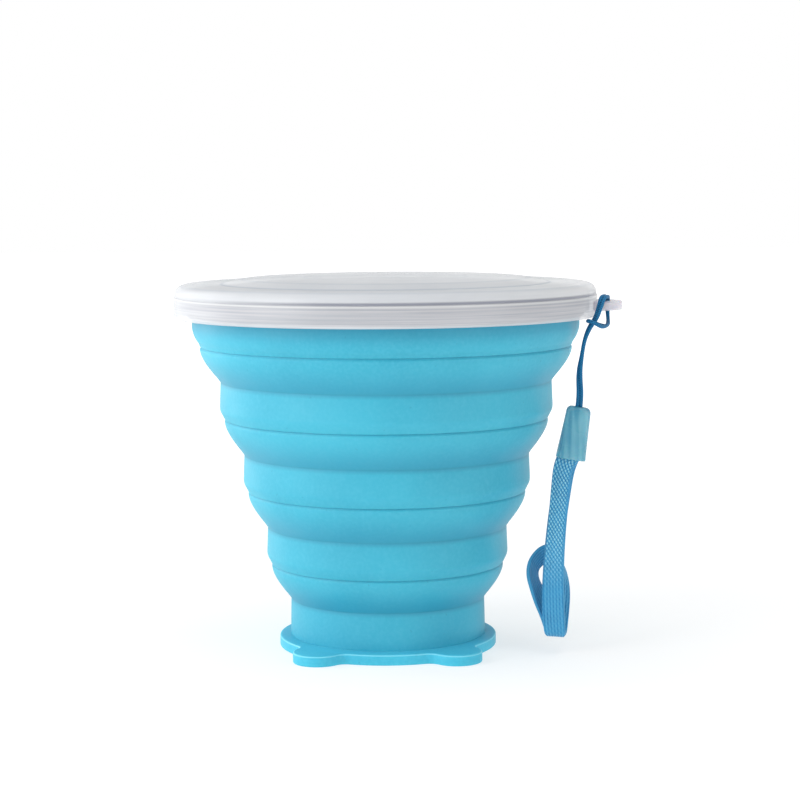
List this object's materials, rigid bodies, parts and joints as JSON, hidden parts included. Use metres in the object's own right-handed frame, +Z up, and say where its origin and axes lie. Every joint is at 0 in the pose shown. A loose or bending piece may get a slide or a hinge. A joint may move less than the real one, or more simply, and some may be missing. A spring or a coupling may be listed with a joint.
{
  "type": "collapsible travel cup",
  "caption": "Collapsible travel cup of telescoping soft silicone rings with a steel rim, translucent snap lid with lanyard tab, eared foot plate and woven wrist lanyard; folds flat.",
  "frame": {"origin": "on the cup's axis, at the bottom face of the foot plate, where the cup stands", "axes": "+Z up along the cup's axis; -Y towards the foot plate's two ears (the front); +X towards the lid's lanyard tab"},
  "size_m": [0.1003, 0.0954, 0.0829],
  "materials": {
    "silicone": "soft matte moulded silicone, sky blue",
    "rim_steel": "circumferentially brushed stainless steel",
    "lid_plastic": "frosted translucent polyethylene",
    "cord": "tightly braided thin round cord, mid blue",
    "sleeve_plastic": "translucent teal flexible plastic",
    "crimp_metal": "plain folded metal clip",
    "strap_fabric": "flat woven polyester tape, mid blue with lighter picks"
  },
  "bodies": {
    "rim": {"rim_collar": "silicone", "steel_ring": "rim_steel", "fold_web_1": "silicone"},
    "stage_2": {"ring_2": "silicone", "fold_web_2": "silicone"},
    "stage_3": {"ring_3": "silicone", "fold_web_3": "silicone"},
    "stage_4": {"ring_4": "silicone", "fold_web_4": "silicone"},
    "base": {"base_cup": "silicone", "foot_plate": "silicone"},
    "lid_body": {"lid": "lid_plastic", "cord_hitch": "cord"},
    "cord_body": {"cord_strand_front": "cord", "cord_strand_back": "cord", "lanyard_sleeve": "sleeve_plastic", "crimp": "crimp_metal", "strap_sewn_end": "strap_fabric"},
    "strap_body": {"strap": "strap_fabric"}
  },
  "joints": [
    {"name": "fold_1", "type": "slide", "parent": "rim", "child": "stage_2", "axis": [0, 0, 1], "range_m": [0, 0.01625], "deforming": ["fold_web_1"]},
    {"name": "fold_2", "type": "slide", "parent": "stage_2", "child": "stage_3", "axis": [0, 0, 1], "range_m": [0, 0.01625], "deforming": ["fold_web_2"]},
    {"name": "fold_3", "type": "slide", "parent": "stage_3", "child": "stage_4", "axis": [0, 0, 1], "range_m": [0, 0.01625], "deforming": ["fold_web_3"]},
    {"name": "fold_4", "type": "slide", "parent": "stage_4", "child": "base", "axis": [0, 0, 1], "range_m": [0, 0.014], "deforming": ["fold_web_4"]},
    {"name": "lid_lift", "type": "slide", "parent": "rim", "child": "lid_body", "axis": [0, 0, 1], "range_m": [0, 0.009]},
    {"name": "cord_swing", "type": "hinge", "parent": "lid_body", "child": "cord_body", "pos_m": [0.0453, -0.014, 0.0726], "axis": [0, -1, 0], "range_deg": [0, 45]},
    {"name": "strap_swing", "type": "hinge", "parent": "cord_body", "child": "strap_body", "pos_m": [0.04033, -0.0139, 0.04192], "axis": [0.9859, 0, -0.1672], "range_deg": [-60, 60]}
  ]
}
